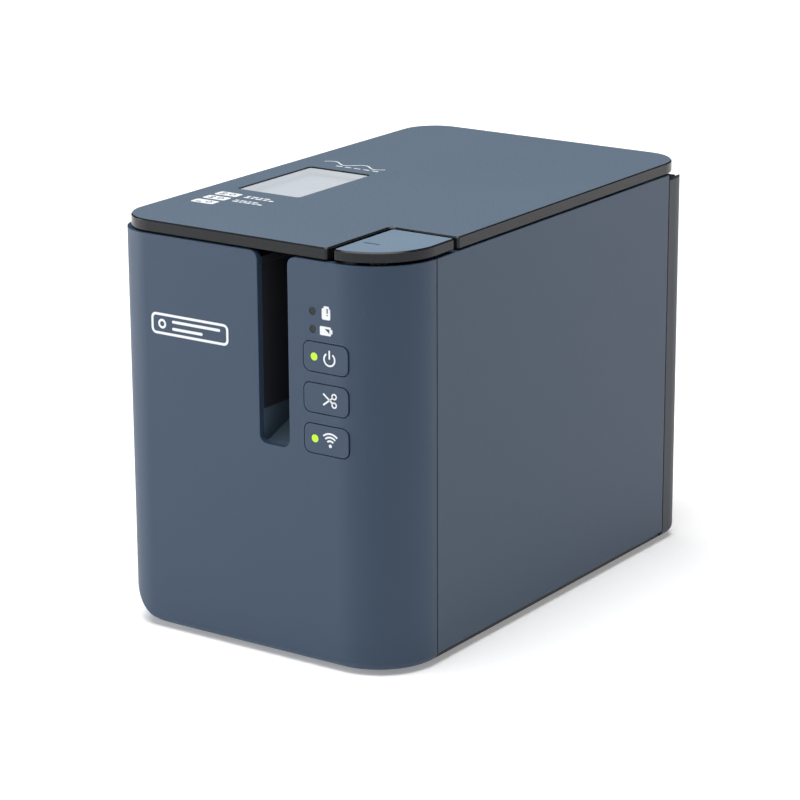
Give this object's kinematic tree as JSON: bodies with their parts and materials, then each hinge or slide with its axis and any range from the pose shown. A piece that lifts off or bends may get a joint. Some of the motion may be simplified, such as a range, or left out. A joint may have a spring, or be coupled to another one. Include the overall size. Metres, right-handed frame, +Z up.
{
  "type": "desktop label maker",
  "caption": "Desktop tape label printer with a hinged windowed lid, a release button, front buttons, a front label slot and a working feed and cutter.",
  "frame": {"origin": "on the table under the middle of the body", "axes": "+X to the right seen from the front, -Y to the front with the label slot, +Z up"},
  "size_m": [0.118, 0.192, 0.146],
  "materials": {
    "body": "fine moulded texture, dark slate blue-grey",
    "rear": "fine moulded texture, near black",
    "base": "moulded, near black",
    "black_inner": "moulded, black",
    "lid": "speckled grained top, glossy dark edge",
    "key": "grained top, glossy dark edge",
    "button": "satin, dark slate blue-grey",
    "pane": "clear glossy plastic, slightly milky",
    "lamp": "lit yellow-green lens",
    "smoked_lens": "smoked lens",
    "rubber": "matte rubber",
    "steel": "zinc plated sheet and turned steel",
    "blade_steel": "ground steel",
    "motor_can": "drawn steel can",
    "white_gear": "natural acetal",
    "head_ceramic": "glazed ceramic with a dark heater line",
    "aluminium": "extruded",
    "board": "green solder mask",
    "components": "moulded black packages",
    "socket_metal": "tinned steel shell",
    "cassette_shell": "pale grey polystyrene",
    "tape": "white laminated label tape",
    "ribbon": "wound thermal ribbon"
  },
  "bodies": {
    "housing": {"base_tray": "base", "front_cover": "body", "right_side_panel": "body", "left_side_panel": "body", "rear_cover": "rear", "rubber_feet": "rubber", "base_screws": "steel", "top_deck": "black_inner", "cassette_bay": "black_inner", "outlet_chute": "black_inner", "hinge_pins": "steel", "latch_guide": "black_inner", "release_spring": "steel", "status_lenses": "smoked_lens", "button_board": "board", "tact_switches": "components", "chassis_plate": "steel", "chassis_posts": "steel", "gear_studs": "steel", "feed_motor": "motor_can", "print_head": "head_ceramic", "head_bracket": "aluminium", "arm_pivot_pin": "steel", "front_bulkhead": "steel", "cutter_motor": "motor_can", "blade_pivot_pin": "steel", "fixed_blade": "blade_steel", "cutter_frame": "steel", "cassette_case": "cassette_shell", "cassette_cover": "cassette_shell", "label_strip": "tape", "main_board": "board", "board_components": "components", "wireless_module": "board", "dc_inlet": "components", "usb_socket": "socket_metal", "serial_socket": "components"},
    "lid": {"top_lid": "lid", "lid_window": "pane", "lid_hook": "white_gear", "cassette_pressers": "white_gear"},
    "release_key": {"release_button": "key"},
    "latch": {"latch_slider": "white_gear"},
    "power_key": {"power_button": "button", "power_lamp": "lamp"},
    "cut_key": {"cut_button": "button"},
    "wireless_key": {"wireless_button": "button", "wireless_lamp": "lamp"},
    "arm": {"roller_arm": "black_inner"},
    "platen": {"platen_shaft": "steel", "platen_roller": "rubber", "platen_gear": "white_gear"},
    "pinion": {"motor_pinion": "white_gear"},
    "drive": {"drive_gear": "white_gear"},
    "spindle": {"ribbon_spindle": "white_gear", "ribbon_takeup_reel": "ribbon"},
    "label_spool": {"label_roll": "tape"},
    "supply_spool": {"ribbon_supply_reel": "ribbon"},
    "blade": {"moving_blade": "blade_steel"},
    "cutter_gear": {"cutter_pinion": "white_gear"}
  },
  "joints": [
    {"name": "lid_hinge", "type": "hinge", "parent": "housing", "child": "lid", "pos_m": [0, 0.0885, 0.1414], "axis": [-1, 0, 0], "range_deg": [0, 75]},
    {"name": "release_press", "type": "slide", "parent": "housing", "child": "release_key", "axis": [0, 0, 1], "range_m": [-0.001, 0], "stiffness_N_per_m": 600, "springref_m": 0.0005, "deforming": ["release_spring"]},
    {"name": "latch_slide", "type": "slide", "parent": "housing", "child": "latch", "axis": [0, 1, 0], "range_m": [0, 0.001]},
    {"name": "power_press", "type": "slide", "parent": "housing", "child": "power_key", "axis": [0, 1, 0], "range_m": [0, 0.0008], "stiffness_N_per_m": 900},
    {"name": "cut_press", "type": "slide", "parent": "housing", "child": "cut_key", "axis": [0, 1, 0], "range_m": [0, 0.0008], "stiffness_N_per_m": 900},
    {"name": "wireless_press", "type": "slide", "parent": "housing", "child": "wireless_key", "axis": [0, 1, 0], "range_m": [0, 0.0008], "stiffness_N_per_m": 900},
    {"name": "arm_swing", "type": "hinge", "parent": "housing", "child": "arm", "pos_m": [0.024, -0.006, 0.084], "axis": [0, 0, 1], "range_deg": [0, 8], "stiffness_Nm_per_rad": 0.5},
    {"name": "platen_spin", "type": "hinge", "parent": "arm", "child": "platen", "pos_m": [0.016, -0.038, 0.071], "axis": [0, 0, 1], "continuous": true},
    {"name": "motor_spin", "type": "hinge", "parent": "housing", "child": "pinion", "pos_m": [0.00196, -0.02222, 0.071], "axis": [0, 0, 1], "continuous": true},
    {"name": "drive_spin", "type": "hinge", "parent": "housing", "child": "drive", "pos_m": [-0.0041, -0.038, 0.071], "axis": [0, 0, 1], "continuous": true},
    {"name": "spindle_spin", "type": "hinge", "parent": "housing", "child": "spindle", "pos_m": [-0.02657, -0.02396, 0.071], "axis": [0, 0, 1], "continuous": true},
    {"name": "label_spin", "type": "hinge", "parent": "housing", "child": "label_spool", "pos_m": [-0.0265, 0.02, 0.087], "axis": [0, 0, 1], "continuous": true},
    {"name": "supply_spin", "type": "hinge", "parent": "housing", "child": "supply_spool", "pos_m": [-0.001, 0.004, 0.087], "axis": [0, 0, 1], "continuous": true},
    {"name": "blade_swing", "type": "hinge", "parent": "housing", "child": "blade", "pos_m": [0.011, -0.0639, 0.078], "axis": [0, 1, 0], "range_deg": [0, 20]},
    {"name": "cutter_spin", "type": "hinge", "parent": "housing", "child": "cutter_gear", "pos_m": [0.011, -0.0659, 0.0587], "axis": [0, 1, 0], "range_deg": [-60, 0]}
  ],
  "couplings": [
    {"joint": "latch_slide", "follows": "release_press", "ratio": -1},
    {"joint": "motor_spin", "follows": "drive_spin", "ratio": -2.5},
    {"joint": "platen_spin", "follows": "drive_spin", "ratio": -1.5},
    {"joint": "spindle_spin", "follows": "drive_spin", "ratio": -0.83333},
    {"joint": "label_spin", "follows": "drive_spin", "ratio": -0.47368},
    {"joint": "supply_spin", "follows": "drive_spin", "ratio": -1},
    {"joint": "cutter_spin", "follows": "blade_swing", "ratio": -3}
  ]
}
